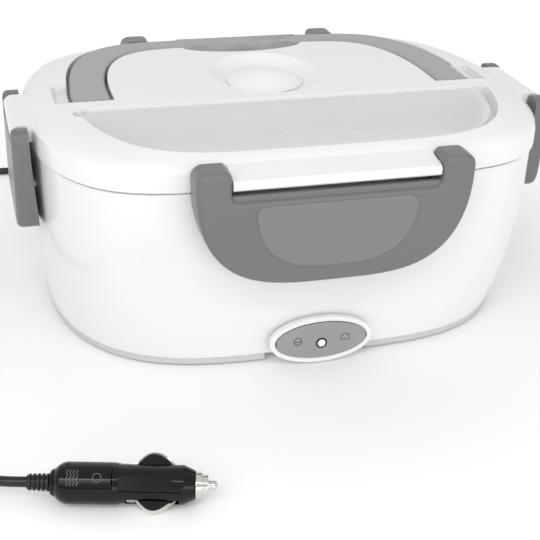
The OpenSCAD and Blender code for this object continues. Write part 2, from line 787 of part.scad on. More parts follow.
// half width, bar half length, reach, low edge, pivot, ear and pin radius, inner limit of the
// walls, outline exponents, room round the hinge bar
module latch(half, bar, reach, low, pivot, ear_r, pin_r, back, p, q, room, badge) {
    inner = bar + 0.5;
    module ear_side() {
        translate([inner, 0, 0]) {
            translate([0, pivot[0], pivot[1]]) rod_x(0, half - inner, ear_r);
            translate([0, -reach, pivot[1] - 12]) cube([half - inner, reach + pivot[0] + ear_r - 0.1, 12]);
        }
    }
    color("gray") difference() {
        union() {
            along_y(back, -reach) polygon(flap(half, low, pivot[1], p, q));
            intersection() {
                for (m = [0, 1]) mirror([m, 0, 0]) ear_side();
                union() {
                    along_y(20, -30) polygon(flap(half, low, pivot[1], p, q));
                    translate([-half, -30, pivot[1]]) cube([2 * half, 50, 20]);
                }
            }
            if (badge) along_y(-reach + 1, -reach - badge_out)
                polygon(flap(half - 23.5, low + 7.5, pivot[1] - 8.7, 3, 2.4));
            hook(bar, reach);
        }
        difference() {
            along_y(back + eps, -reach + latch_t) polygon(flap(half - latch_t, low + latch_t, pivot[1] + 0.1, p, q));
            for (m = [0, 1]) mirror([m, 0, 0]) translate([inner, -30, pivot[1] - 12]) cube([half, 60, 13]);
            hook(bar, reach);
        }
        translate([-inner, -30, pivot[1] - flap_top]) cube([2 * inner, 60, 20]);
        translate([0, pivot[0], pivot[1]]) rod_x(-inner, inner, room);
        if (badge) translate([-inner, -reach - 2, pivot[1] - 6.6]) cube([2 * inner, 2 + step_in, 20]);
        for (m = [0, 1]) mirror([m, 0, 0]) translate([inner - 0.1, pivot[0], pivot[1]])
            rod_x(0, pin_l + 0.1, pin_r + run_gap);
    }
}

// The hook that closes under the housing's ridge
module hook(bar, reach) {
    translate([-bar * 0.4, -reach + 1, ridge_z - 0.8 - hook_t]) cube([bar * 0.8, reach - 1 + ridge_out - fit_gap * 2, hook_t]);
}

module long_latch() {
    translate([0, -b0, 0])
        latch(long_half, long_bar, long_reach, long_low, long_pivot, long_ear_r, long_pin_r, -0.6, 3.6, 2.3, 5.6, true);
}

module short_latch() {
    translate([0, -a0, 0])
        latch(short_half, short_bar, short_reach, short_low, short_pivot, short_ear_r, short_pin_r, 0.2, 12, 6,
            short_bar_r + slip_gap, false);
}

module latch_front() {
    long_latch();
}

module latch_back() {
    rotate([0, 0, 180]) long_latch();
}

module latch_left() {
    translate([0, -short_shift, 0]) rotate([0, 0, 270]) short_latch();
}

module latch_right() {
    translate([0, -short_shift, 0]) rotate([0, 0, 90]) short_latch();
}

// ---- 12 V lead ----

cord_r = cord_d / 2;
conn_r = 5;
conn_face = pad_y + slip_gap;
conn_y = conn_face + 7;
conn_l = 12;
relief_l = 20;
relief_x = dc_x - conn_r - 1;

// Angled connector: its barrel sits in the inlet and its lead leaves towards the left
module dc_connector() {
    color("black") difference() {
        translate([dc_x, 0, inlet_z]) union() {
            rod_y(conn_face + conn_l, conn_face, conn_r);
            rod_y(conn_face + 1, pad_y - 9, dc_bore - run_gap);
            translate([0, conn_y, 0]) rod_x(relief_x - dc_x, 0, 4);
        }
        translate([dc_x, 0, inlet_z]) rod_y(pad_y - 2, pad_y - 10, 1.05 + run_gap);
    }
}

module connector_relief() {
    color("black") translate([relief_x, conn_y, inlet_z]) rotate([0, -90, 0]) difference() {
        cylinder(r1 = 3.6, r2 = cord_r + 0.7, h = relief_l);
        for (z = [5 : 4 : 17]) translate([0, 0, z]) difference() {
            cylinder(r = 5, h = 1.4);
            cylinder(r = cord_r + 0.2, h = 1.4);
        }
    }
}

coil_at = [-70, 124.9];
coil_r = 21.5;
coil_w = 2 * cord_d;
coil_h = 3 * cord_d;
plug_at = [-129.2, -147.7, plug_d / 2];
plug_turn = -15;
plug_roll = -52;
plug_ahead = [cos(plug_turn), sin(plug_turn), 0];

// Points of the lead before its coil and after it
function bez(a, b, c, d, n) =
    [for (i = [1 : n]) let (t = i / n, s = 1 - t) s * s * s * a + 3 * s * s * t * b + 3 * s * t * t * c + t * t * t * d];
run_y = coil_at[1] - coil_r - coil_w / 2 - cord_r - 0.4;
exit_at = [relief_x - relief_l, conn_y, inlet_z];
lead_in = concat([exit_at, exit_at - [4, 0, 0]],
    bez(exit_at - [4, 0, 0], exit_at - [20, 0, 0], [-38, run_y, cord_r], [-52, run_y, cord_r], 9),
    [[coil_at[0] + 9, run_y, cord_r], [coil_at[0] + 2, run_y, cord_r]]);
out_z = coil_h - cord_r;
plug_end = plug_at - 6 * plug_ahead;
out_x = coil_at[0] - coil_r - coil_w / 2 - cord_r - 0.4;
out_y = coil_at[1] + 2;
lead_out = concat([[out_x, out_y, out_z]],
    bez([out_x, out_y, out_z], [out_x, 147, out_z], [-106, 158, cord_r], [-122, 159, cord_r], 9),
    bez([-122, 159, cord_r], [-141, 160, cord_r], [-159, 150, cord_r], [-162, 128, cord_r], 7),
    bez([-162, 128, cord_r], [-166, 90, cord_r], [-157, 40, cord_r], [-156, 0, cord_r], 7),
    bez([-156, 0, cord_r], [-155, -40, cord_r], [-159, -70, cord_r], [-160, -96, cord_r], 5),
    bez([-160, -96, cord_r], [-161, -124, cord_r], plug_end - 18 * plug_ahead, plug_end, 11), [plug_at]);

module lead_start() {
    color("black") tube(lead_in, cord_r);
}

module lead_end() {
    color("black") tube(lead_out, cord_r);
}

module lead_coil() {
    color("black") translate([coil_at[0], coil_at[1], 0])
        rotate_extrude() translate([coil_r - coil_w / 2, 0]) square([coil_w, coil_h]);
}

tie_w = 4;
tie_t = 0.8;
module lead_tie() {
    color("dimgray") translate([coil_at[0], coil_at[1] + coil_r, 0]) difference() {
        translate([-tie_w / 2, -coil_w / 2 - tie_t - 0.1, 0]) cube([tie_w, coil_w + 2 * tie_t + 0.2, coil_h + tie_t + 0.1]);
        translate([-tie_w, -coil_w / 2 - 0.1, -eps]) cube([2 * tie_w, coil_w + 0.2, coil_h + eps + 0.1]);
    }
}

// ---- car plug, lying on the table: x runs from the lead to the tip ----

grip_relief = 8.4;
collar_l = 4.6;
plug_r = plug_d / 2;
neck_x = grip_relief + plug_l;
tip_r = 1.8;
bore_r = 3.6;
contact_l = 18;
contact_w = 5;
contact_x = grip_relief + 27;
contact_z = plug_r - 0.8;           // outer face of the contact's root
contact_out = 4;

module on_plug() {
    translate(plug_at) rotate([0, 0, plug_turn]) rotate([plug_roll, 0, 0]) children();
}

module plug_relief() {
    color("black") on_plug() difference() {
        rotate([0, 90, 0]) cylinder(r1 = cord_r + 0.9, r2 = 3.3, h = grip_relief);
        for (x = [1.4 : 1.7 : 7]) translate([x, 0, 0]) difference() {
            rod_x(0, 0.7, 8);
            rod_x(-1, 3, cord_r + 0.7);
        }
    }
}

// Side profile of the plug: radius against distance from the relief's end
module plug_form(inset) {
    rotate([90, 0, 90]) rotate_extrude() polygon([
        [0, inset], [4.4 - inset, inset], [5.6 - inset, 1.2], [plug_r - inset - 0.5, 3.6], [plug_r - inset, 6],
        [plug_r - inset, 22], [plug_r - 0.5 - inset, 25], [plug_r - 0.5 - inset, plug_l - 3.6],
        [plug_r * 0.69 - inset, plug_l], [0, plug_l]]);
}

module plug_body() {
    color("black") on_plug() difference() {
        union() {
            translate([grip_relief, 0, 0]) plug_form(0);
            rotate([42, 0, 0]) translate([grip_relief + 22, -plug_r - 0.2, -0.6]) cube([24, 2, 1.2]);
        }
        rod_x(grip_relief + 10, neck_x + 1, bore_r);
        for (m = [0, 1]) mirror([0, 0, m]) contact_slot();
        grip_seat(0.1);
        rotate([12, 0, 0]) translate([grip_relief + 24, -plug_r - 2, -2.2]) cube([19, 3, 4.4]);
    }
}

module contact_slot() {
    translate([contact_x - 0.3, -contact_w / 2 - 0.3, contact_z - 1.3]) cube([4, contact_w + 0.6, 10]);
    translate([contact_x + 3, -contact_w / 2 - 0.3, 2.9]) cube([contact_l - 2.3, contact_w + 0.6, 10]);
}

grip_x = grip_relief + 3.6;
grip_l = 18.6;
module grip_seat(grow) {
    translate([grip_x - grow, -plug_r - 2, -3.4 - grow]) cube([grip_l + 2 * grow, 4, 6.8 + 2 * grow]);
}

module plug_grip() {
    color("dimgray") on_plug() {
        intersection() {
            translate([grip_relief, 0, 0]) plug_form(-0.3);
            translate([grip_x, -plug_r - 2, -3.4]) cube([grip_l, 3.4, 6.8]);
        }
        for (x = [2 : 1.5 : 8]) translate([grip_x + x, -plug_r - 0.5, -2.6]) cube([0.7, 1, 5.2]);
    }
}

module plug_fuse() {
    color("silver") on_plug() translate([neck_x - 34, 0, 0]) {
        rod_x(0, 5, 2.6);
        rod_x(5, 15, 2.4);
        rod_x(15, 20, 2.6);
    }
}

module tip_spring() {
    color("silver") on_plug() translate([neck_x - 13.8, 0, 0]) rotate([0, 90, 0]) difference() {
        cylinder(r = 2.4, h = 6.6);
        translate([0, 0, -eps]) cylinder(r = 1.6, h = 8);
        for (z = [0.8 : 1.6 : 6]) rotate([0, 0, z * 60]) translate([-0.6, -3, z]) cube([6, 6, 0.7]);
    }
}

module plug_collar() {
    color("silver") on_plug() translate([neck_x + 0.02, 0, 0]) difference() {
        union() {
            rod_x(0, 2.4, plug_r * 0.66);
            rod_x(2.4, collar_l, plug_r * 0.52);
        }
        rod_x(-eps, collar_l + eps, tip_r + run_gap);
    }
}

module plug_tip() {
    color("gold") on_plug() {
        rod_x(neck_x - 7, neck_x - 1, 3);
        rod_x(neck_x - 2, neck_x + collar_l + 1.6, tip_r);
        translate([neck_x + collar_l + 1.6, 0, 0]) sphere(tip_r);
    }
}

// Bowed spring that carries the outer contact
module contact_spring() {
    z0 = contact_z;
    z1 = z0 + contact_out;
    translate([contact_x, contact_w / 2, 0]) along_y(0, -contact_w) polygon([
        [0, z0], [3, z0], [contact_l * 0.4, z1 - 0.5], [contact_l * 0.47, z1], [contact_l * 0.58, z1],
        [contact_l * 0.65, z1 - 0.5], [contact_l, z0 - 0.9], [contact_l, z0 - 1.9], [contact_l * 0.62, z1 - 1.5],
        [contact_l * 0.56, z1 - 1], [contact_l * 0.49, z1 - 1], [contact_l * 0.43, z1 - 1.5], [3, z0 - 1], [0, z0 - 1]]);
}

module contact_upper() {
    color("silver") on_plug() contact_spring();
}

module contact_lower() {
    color("silver") on_plug() mirror([0, 0, 1]) contact_spring();
}

outer_housing();
base_cover();
feet();
base_screws();
inner_tub();
heater_plate();
ptc_heaters();
insulation_pad();
heater_clamp();
clamp_screws();
thermostat();
thermal_fuse();
wiring();
lamp_board();
lamp_led();
lamp_lens();
lamp_bezel();
lamp_panel();
ac_inlet();
ac_pins();
dc_inlet();
dc_pin();
food_container();
side_dish();
lid_shell();
lid_liner();
lid_seal();
vent_cap();
cutlery_cover();
carry_handle();
latch_front();
latch_back();
latch_left();
latch_right();
dc_connector();
connector_relief();
lead_start();
lead_coil();
lead_tie();
lead_end();
plug_relief();
plug_body();
plug_grip();
plug_fuse();
tip_spring();
plug_collar();
plug_tip();
contact_upper();
contact_lower();
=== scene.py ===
# %% [markdown]
# # A heated lunch box, dressed for the studio
# The measured model of the lunch box is loaded first and stays fixed. Every cell below adds one real
# piece or one finish to it: the camera, the 12 V lead, the plastics and metals, the moulded shells, the
# plug, and the light.

# %% Load the measured model
import math

import bmesh
import bpy
from mathutils import Matrix, Vector


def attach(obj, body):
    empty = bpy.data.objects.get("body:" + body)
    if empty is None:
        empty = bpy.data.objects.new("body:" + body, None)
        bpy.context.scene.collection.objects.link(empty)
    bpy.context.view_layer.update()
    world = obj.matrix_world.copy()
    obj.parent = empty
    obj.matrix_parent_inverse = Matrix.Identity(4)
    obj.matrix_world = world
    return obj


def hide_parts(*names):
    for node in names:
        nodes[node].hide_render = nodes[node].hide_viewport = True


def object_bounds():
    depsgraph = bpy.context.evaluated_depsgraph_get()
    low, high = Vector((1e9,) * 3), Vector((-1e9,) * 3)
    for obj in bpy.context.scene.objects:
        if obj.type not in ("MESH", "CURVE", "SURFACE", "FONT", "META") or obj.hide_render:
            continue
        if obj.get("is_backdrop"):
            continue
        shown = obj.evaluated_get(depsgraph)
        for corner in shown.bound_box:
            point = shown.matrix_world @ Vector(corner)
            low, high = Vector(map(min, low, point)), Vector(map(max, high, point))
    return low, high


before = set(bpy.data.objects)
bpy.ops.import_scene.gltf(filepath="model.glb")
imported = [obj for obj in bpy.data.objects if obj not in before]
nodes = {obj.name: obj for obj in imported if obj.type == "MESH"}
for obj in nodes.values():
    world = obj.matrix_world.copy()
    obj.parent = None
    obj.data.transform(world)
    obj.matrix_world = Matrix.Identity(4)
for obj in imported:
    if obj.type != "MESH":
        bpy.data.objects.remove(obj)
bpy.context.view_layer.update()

MM = 0.001

# %% [markdown]
# ## The camera
# The viewpoint is stood where the outlines of the rim, base, latches and handle line up: turned 16
# degrees to the left, 27 degrees up, about half a metre away. Its axes are worked out from those angles,
# because a camera looks down its own -Z axis and a small roll is easier to add to the axes than to Euler
# angles.

# %% Stand the camera
def camera_matrix(azimuth, elevation, roll, distance, target):
    azimuth, elevation, roll = (math.radians(a) for a in (azimuth, elevation, roll))
    back = Vector((math.sin(azimuth) * math.cos(elevation), -math.cos(azimuth) * math.cos(elevation),
                   math.sin(elevation)))
    right = (-back).cross(Vector((0, 0, 1))).normalized()
    up = right.cross(-back)
    side = right * math.cos(roll) + up * math.sin(roll)
    top = up * math.cos(roll) - right * math.sin(roll)
    matrix = Matrix((side, top, back)).transposed().to_4x4()
    matrix.translation = (Vector(target) + back * distance) * MM
    return matrix


camera = bpy.data.objects.new("camera", bpy.data.cameras.new("camera"))
bpy.context.scene.collection.objects.link(camera)
camera.matrix_world = camera_matrix(azimuth=-16.1115, elevation=27.1802, roll=1.7789, distance=523.728,
                                    target=(-8.521, -30.459, 19.524))
sensor_mm, focal_px, picture_px = 36, 1130.716, 540
camera.data.sensor_width = sensor_mm
camera.data.lens = sensor_mm * focal_px / picture_px
camera.data.clip_end = 10
bpy.context.scene.camera = camera
print("camera height above the table:", round(camera.matrix_world.translation.z, 3), "m")

# %% [markdown]
# ## Finishes
# A moulded plastic is never one flat colour. Its gloss changes a little from place to place, and its skin
# carries the fine texture of the mould. One helper adds a node with its settings and links, and one makes
# such a plastic from two tones, a gloss and the size of its grain. The grain is given in millimetres, so
# it stays true on small and large pieces.

# %% Helpers for materials
def linear(code):
    channels = (int(code[i:i + 2], 16) / 255 for i in (1, 3, 5))
    return tuple(c / 12.92 if c <= 0.04045 else ((c + 0.055) / 1.055) ** 2.4 for c in channels) + (1.0,)


def add(tree, kind, settings=(), numbered=(), **named):
    node = tree.nodes.new("ShaderNode" + kind)
    for name, value in dict(settings).items():
        setattr(node, name, value)
    sockets = dict(numbered)
    sockets.update((name.replace("_", " "), value) for name, value in named.items())
    for key, value in sockets.items():
        socket = node.inputs[key]
        if isinstance(value, bpy.types.NodeSocket):
            tree.links.new(value, socket)
        else:
            socket.default_value = value
    return node


def new_material(name):
    material = bpy.data.materials.new(name)
    material.use_nodes = True
    tree = material.node_tree
    shader = tree.nodes["Principled BSDF"]
    return material, tree, shader


def two_tones(tree, shader, factor, light, dark):
    tones = add(tree, "Mix", {"data_type": "RGBA"}, {0: factor, 6: linear(light), 7: linear(dark)})
    tree.links.new(tones.outputs[2], shader.inputs["Base Color"])


def grain(tree, shader, size, depth, stretch=(1, 1, 1)):
    place = add(tree, "TexCoord").outputs["Object"]
    place = add(tree, "Mapping", Vector=place, Scale=stretch).outputs["Vector"]
    noise = add(tree, "TexNoise", Vector=place, Scale=1 / (size * MM), Detail=3.0, Roughness=0.6)
    bump = add(tree, "Bump", Height=noise.outputs["Fac"], Strength=1.0, Distance=depth * MM)
    tree.links.new(bump.outputs["Normal"], shader.inputs["Normal"])
    return noise.outputs["Fac"]


def cloud(tree, size):
    place = add(tree, "TexCoord").outputs["Object"]
    return add(tree, "TexNoise", Vector=place, Scale=1 / (size * MM), Detail=2.0).outputs["Fac"]


def gloss(tree, shader, factor, low, high):
    ramp = add(tree, "MapRange", Value=factor, From_Min=0.3, From_Max=0.7, To_Min=low, To_Max=high)
    tree.links.new(ramp.outputs["Result"], shader.inputs["Roughness"])


def plastic(name, light, dark, rough, size, depth, patch=25):
    material, tree, shader = new_material(name)
    fine = grain(tree, shader, size, depth)
    two_tones(tree, shader, cloud(tree, patch), light, dark)
    gloss(tree, shader, fine, rough * 0.85, rough * 1.15)
    return material


def metal(name, light, dark, rough, size, depth, stretch=(1, 1, 1)):
    material, tree, shader = new_material(name)
    shader.inputs["Metallic"].default_value = 1.0
    lines = grain(tree, shader, size, depth, stretch)
    two_tones(tree, shader, lines, light, dark)
    gloss(tree, shader, cloud(tree, 9), rough * 0.8, rough * 1.2)
    return material


# %% [markdown]
# ## The plastics and metals of this box
# The shells are glossy white polypropylene with an even, slightly cloudy skin. The band at the bottom is
# a light grey of the same plastic. The latches are satin mid-grey ABS with a fine spark texture that
# blurs reflections. Their badges are a smoother copy of that grey, made lighter as painted light on the
# badge face. The handle is the same plastic made paler as painted top light, and the lamp panel has a
# pearly coat. The plug is a black, mirror-smooth moulding whose reflections are narrow, and its
# specular level is under the usual half to keep the black deep. Inside are brushed stainless steel, whose
# lines stretch its highlights, ceramic heater blocks, flaky mica, a green circuit board and
# silicone-jacketed wires. The grain of ABS is about 0.1 mm, too fine for a picture of this size, so it is
# drawn at 0.45 mm.

# %% Make the finishes
white_shell = plastic("glossy_white_polypropylene", "#F3F3F3", "#EFEFEF", 0.18, 1.2, 0.004, 60)
base_grey = plastic("light_grey_polypropylene", "#CFCFD0", "#C9C9CA", 0.34, 0.5, 0.008)
grey_trim = plastic("satin_grey_abs", "#737374", "#6F6F70", 0.32, 0.45, 0.010)
# badges: the latch grey made lighter, painted light where the badge face catches the lamps
badge_painted_light_grey = plastic("smooth_grey_abs_painted_light", "#7F7F80", "#7B7B7C", 0.22, 0.45, 0.004)
# handle: the latch plastic made paler, painted top light because its top faces the lamps
handle_painted_top_light_grey = plastic("satin_grey_abs_painted_top_light", "#A6A6A7", "#A1A1A2", 0.34, 0.45, 0.010)
panel_grey = plastic("pearl_grey_panel", "#9C9C9D", "#969697", 0.3, 0.25, 0.006)
inner_white = plastic("natural_polypropylene", "#ECECE9", "#E4E4E0", 0.4, 0.8, 0.01)
silicone = plastic("translucent_silicone", "#DADCDD", "#CDD0D2", 0.5, 0.5, 0.012)
heater_alloy = metal("die_cast_aluminium", "#C9CBCE", "#B4B6BA", 0.42, 0.6, 0.02)
steel = metal("brushed_stainless_steel", "#D6D8DB", "#BFC2C6", 0.24, 0.35, 0.006, (0.06, 1, 1))
ceramic = plastic("glazed_ceramic", "#E9DFCB", "#DCCFB6", 0.45, 0.4, 0.02)
mica = plastic("pressed_mica", "#D8C49A", "#B79F72", 0.6, 0.7, 0.05, 3)
board_green = plastic("solder_mask_board", "#1F5E3B", "#174B2E", 0.35, 0.6, 0.01, 6)
lens_white = plastic("diffusing_lens", "#FBFBF8", "#F2F2EE", 0.18, 0.6, 0.002, 6)
wire_red = plastic("silicone_wire_jacket", "#9E2A25", "#7F201D", 0.5, 0.4, 0.01, 4)
dark_rubber = plastic("moulded_rubber", "#2A2A2C", "#1E1E20", 0.62, 0.4, 0.03, 5)
black_plastic = plastic("glossy_black_plastic", "#0B0B0C", "#070708", 0.13, 0.9, 0.003, 12)
lead_skin = plastic("flexible_black_jacket", "#131314", "#0E0E0F", 0.3, 0.7, 0.008, 8)
black_plastic.node_tree.nodes["Principled BSDF"].inputs["Specular IOR Level"].default_value = 0.32
bright_metal = metal("nickel_plate", "#E4E2DC", "#D3D1CB", 0.12, 0.8, 0.003)
print("finishes:", len(bpy.data.materials))

# %% [markdown]
# The cutlery cover is a clear moulding with a milky veil, through which the well shows faintly. Alpha
# does this better than glass here, because light and shadow then pass through the thin sheet as they do
# through the real one.

# %% The clear cover's finish
clear_cover, tree, shader = new_material("clear_polystyrene")
shader.inputs["Alpha"].default_value = 0.36
two_tones(tree, shader, cloud(tree, 30), "#FCFCFC", "#F8F8F8")
gloss(tree, shader, grain(tree, shader, 2.0, 0.002), 0.05, 0.09)

# %% [markdown]
# ## The 12 V lead
# The lead is one soft round cable, 1.2 m long and 3.8 mm thick. It leaves its angled connector at the
# back, runs into a round coil of five turns and a quarter held by a tie, then along the table to the car
# plug. Its route is written as a few smooth curves and turns. The same route is in the measured model, so
# the cable lies where that model has it.

# %% Route of the lead
cord_d, cord_r = 3.8, 1.9
coil_middle, coil_r, coil_out_r = Vector((-70, 124.9, 0)), 21.5, 27.6
turns, lane_change = 5.25, 0.3
run_y = coil_middle.y - coil_r - cord_d - cord_r - 0.4
exit_at = Vector((-11, 90.8, 13.2))
plug_at, plug_turn, plug_roll = Vector((-129.2, -147.7, 7.5)), -15, -52
plug_ahead = Vector((math.cos(math.radians(plug_turn)), math.sin(math.radians(plug_turn)), 0))


def smooth_run(a, b, c, d, count):
    points = []
    for i in range(1, count + 1):
        t = i / count
        s = 1 - t
        points.append(s ** 3 * Vector(a) + 3 * s * s * t * Vector(b)
                      + 3 * s * t * t * Vector(c) + t ** 3 * Vector(d))
    return points


def ease(part):
    part = max(0, min(1, part))
    return part * part * (3 - 2 * part)


def coil_point(turn, last):
    # each turn's lane, 1 outside and -1 inside, with its layer; changing lanes takes three tenths of a turn
    lanes = [(1, 0), (-1, 0), (-1, 1), (1, 1), (-1, 2), (1, 2)]
    lane = min(len(lanes) - 1, int(turn))
    outside = (coil_out_r - coil_r) / cord_r
    before = lanes[lane - 1] if lane else (outside, 0)
    blend = ease((turn - lane) / lane_change)
    out = before[0] + (lanes[lane][0] - before[0]) * blend
    level = before[1] + (lanes[lane][1] - before[1]) * blend
    out += (outside - out) * ease((turn - last + lane_change) / lane_change)
    angle = math.radians(-90 - 360 * turn)
    radius = coil_r + out * cord_r
    return coil_middle + Vector((radius * math.cos(angle), radius * math.sin(angle), cord_r + level * cord_d))


out_x, out_y, out_z = coil_middle.x - coil_out_r, coil_middle.y + 2, 3 * cord_d - cord_r
plug_end = plug_at - 6 * plug_ahead
route = [exit_at, exit_at - Vector((4, 0, 0))]
route += smooth_run(route[-1], exit_at - Vector((20, 0, 0)), (-38, run_y, cord_r), (-52, run_y, cord_r), 9)
route += [Vector((-61, run_y, cord_r))]
route += [coil_point(turns * i / 147, turns) for i in range(148)]
route += smooth_run((out_x, out_y, out_z), (out_x, 147, out_z), (-106, 158, cord_r), (-122, 159, cord_r), 8)
route += smooth_run(route[-1], (-141, 160, cord_r), (-159, 150, cord_r), (-162, 128, cord_r), 6)
route += smooth_run(route[-1], (-166, 90, cord_r), (-157, 40, cord_r), (-156, 0, cord_r), 5)
route += smooth_run(route[-1], (-155, -40, cord_r), (-159, -70, cord_r), (-160, -96, cord_r), 4)
route += smooth_run(route[-1], (-161, -124, cord_r), plug_end - 18 * plug_ahead, plug_end, 9)
route += [plug_end + 3 * plug_ahead, plug_at]
print("lead in mm:", round(sum((b - a).length for a, b in zip(route, route[1:]))))

# %% Lay the lead along its route
lead_curve = bpy.data.curves.new("lead", "CURVE")
lead_curve.dimensions = "3D"
lead_curve.bevel_depth = cord_r * MM
lead_curve.bevel_resolution = 5
lead_curve.use_fill_caps = True
spline = lead_curve.splines.new("POLY")
spline.points.add(len(route) - 1)
for point, place in zip(spline.points, route):
    point.co = (*(place * MM), 1)
spline.use_smooth = True
lead = bpy.data.objects.new("lead", lead_curve)
bpy.context.scene.collection.objects.link(lead)
lead_curve.materials.append(lead_skin)
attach(lead, "housing")
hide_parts("lead_start", "lead_coil", "lead_end")

# %% [markdown]
# ## Softened copies of the mouldings
# Real mouldings have no knife edges. Each hard-edged piece is copied, its triangles are joined into
# faces, and its edges are rounded with the bevel operator. An angle is in radians, so the default finds
# edges over 57 degrees. Weighted normals keep the flat faces flat next to the round edges.

# %% Helpers for pieces
def finished(bm, name, body, material, stands_for=(), angle=35):
    bm.transform(Matrix.Scale(MM, 4))
    for face in bm.faces:
        face.smooth = True
    for edge in bm.edges:
        edge.smooth = not (edge.is_manifold and edge.calc_face_angle() > math.radians(angle))
    mesh = bpy.data.meshes.new(name)
    bm.to_mesh(mesh)
    bm.free()
    mesh.materials.append(material)
    piece = bpy.data.objects.new(name, mesh)
    bpy.context.scene.collection.objects.link(piece)
    normals = piece.modifiers.new("flat faces stay flat", "WEIGHTED_NORMAL")
    normals.keep_sharp = True
    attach(piece, body)
    if stands_for:
        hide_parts(*stands_for)
    print(name, "faces:", len(mesh.polygons))
    return piece


def joined_copy(node):
    bm = bmesh.new()
    bm.from_mesh(nodes[node].data)
    bm.transform(Matrix.Scale(1 / MM, 4))
    bmesh.ops.remove_doubles(bm, verts=bm.verts, dist=0.004)
    bmesh.ops.dissolve_limit(bm, angle_limit=math.radians(0.6), verts=bm.verts, edges=bm.edges)
    return bm


def sharp_edges(bm, angle=1.0):
    return [e for e in bm.edges if e.is_manifold and e.calc_face_angle() > angle]


def rounded(bm, edges, radius, segments):
    bmesh.ops.bevel(bm, geom=edges, offset=radius, offset_type="OFFSET", segments=segments, profile=0.5,
                    affect="EDGES", clamp_overlap=True, material=-1)


def verts_of(items):
    return [item for item in items if isinstance(item, bmesh.types.BMVert)]


def extruded(bm, by):
    pulled = bmesh.ops.extrude_face_region(bm, geom=list(bm.faces))["geom"]
    bmesh.ops.translate(bm, vec=by, verts=verts_of(pulled))
    bmesh.ops.recalc_face_normals(bm, faces=bm.faces)


# %% [markdown]
# Some forms are easiest as one shape cut from another, such as the hollow of a latch. The helper below
# cuts with the Boolean modifier. Its inputs are made triangles first, because an outline with a notch can
# be filled wrongly.

# %% Helpers that cut, place and gather shapes
def carved(bm, tool, operation="DIFFERENCE"):
    objects = []
    for shape in (bm, tool):
        mesh = bpy.data.meshes.new("workpiece")
        bmesh.ops.recalc_face_normals(shape, faces=shape.faces)
        bmesh.ops.triangulate(shape, faces=shape.faces)
        shape.to_mesh(mesh)
        shape.free()
        objects.append(bpy.data.objects.new("workpiece", mesh))
        bpy.context.scene.collection.objects.link(objects[-1])
    modifier = objects[0].modifiers.new("carve", "BOOLEAN")
    modifier.solver = "EXACT"
    modifier.operation = operation
    modifier.object = objects[1]
    graph = bpy.context.evaluated_depsgraph_get()
    result = bmesh.new()
    result.from_object(objects[0], graph)
    for piece in objects:
        mesh = piece.data
        bpy.data.objects.remove(piece)
        bpy.data.meshes.remove(mesh)
    return result


def block(low, high):
    bm = bmesh.new()
    bmesh.ops.create_cube(bm, size=1)
    size = Vector(high) - Vector(low)
    bmesh.ops.scale(bm, vec=size, verts=bm.verts)
    bmesh.ops.translate(bm, vec=Vector(low) + size / 2, verts=bm.verts)
    return bm


def lying_pin(radius, length, middle, bm=None):
    bm = bm or bmesh.new()
    bmesh.ops.create_cone(bm, cap_ends=True, segments=32, radius1=radius, radius2=radius, depth=length,
                          matrix=Matrix.Translation(middle) @ Matrix.Rotation(math.pi / 2, 4, "Y"))
    return bm


def placed(bm, matrix):
    bm.transform(matrix)
    return bm


def gathered(bm, *others):
    for other in others:
        mesh = bpy.data.meshes.new("part")
        other.to_mesh(mesh)
        other.free()
        bm.from_mesh(mesh)
        bpy.data.meshes.remove(mesh)
    return bm


# %% [markdown]
# The lid, the housing, the bottom cover and the vent cap are plain mouldings with small soft edges, so
# they are softened copies.

# %% Soften the shells
for node, body, material, slot, radius in (
        ("outer_housing", "housing", white_shell, "white_shell", 0.6),
        ("base_cover", "housing", base_grey, "base_grey", 0.5),
        ("lid_shell", "lid", white_shell, "white_shell", 0.35),
        ("cutlery_cover", "cutlery_cover", clear_cover, "clear_cover", 0.3),
        ("vent_cap", "vent_cap", white_shell, "white_shell", 0.5)):
    bm = joined_copy(node)
    rounded(bm, sharp_edges(bm, math.radians(30)), radius, 3)
    finished(bm, node + "_soft", body, material, (node,))

# %% [markdown]
# ## Oval outlines
# The box, its handle and its latches all share one family of outlines, an oval with squarer corners. A
# circle from the mesh operator is warped into it: the exponents say how square it is towards the ends and
# the sides.

# %% Helper for oval outlines
def squared(value, power):
    return math.copysign(abs(value) ** (2 / power), value)


def oval_ring(bm, half_x, half_y, p, q, height=0, segments=144, fill=False):
    ring = bmesh.ops.create_circle(bm, segments=segments, radius=1, cap_ends=fill)["verts"]
    for vert in ring:
        x, y = vert.co.x, vert.co.y
        length = math.hypot(x, y)
        vert.co = Vector((half_x * squared(x / length, p), half_y * squared(y / length, q), height))
    return ring


def edges_where(bm, test):
    return [e for e in bm.edges if all(test(v.co) for v in e.verts)]


# %% [markdown]
# ## The latches
# A latch is one thick grey moulding: two ears that hold the hinge pins of the lid, and a D-shaped flap
# whose front edge is generously rounded. It starts as a flat outline of a few vertices. Its corners are
# rounded first, then the outline is extruded to its thickness and the front edge is rounded all the way
# round. The back is hollowed out from 12 mm under the hinge down, and gets the hook that closes under the
# ridge of the housing.

# %% Helpers for a latch
hollow_drop = 12


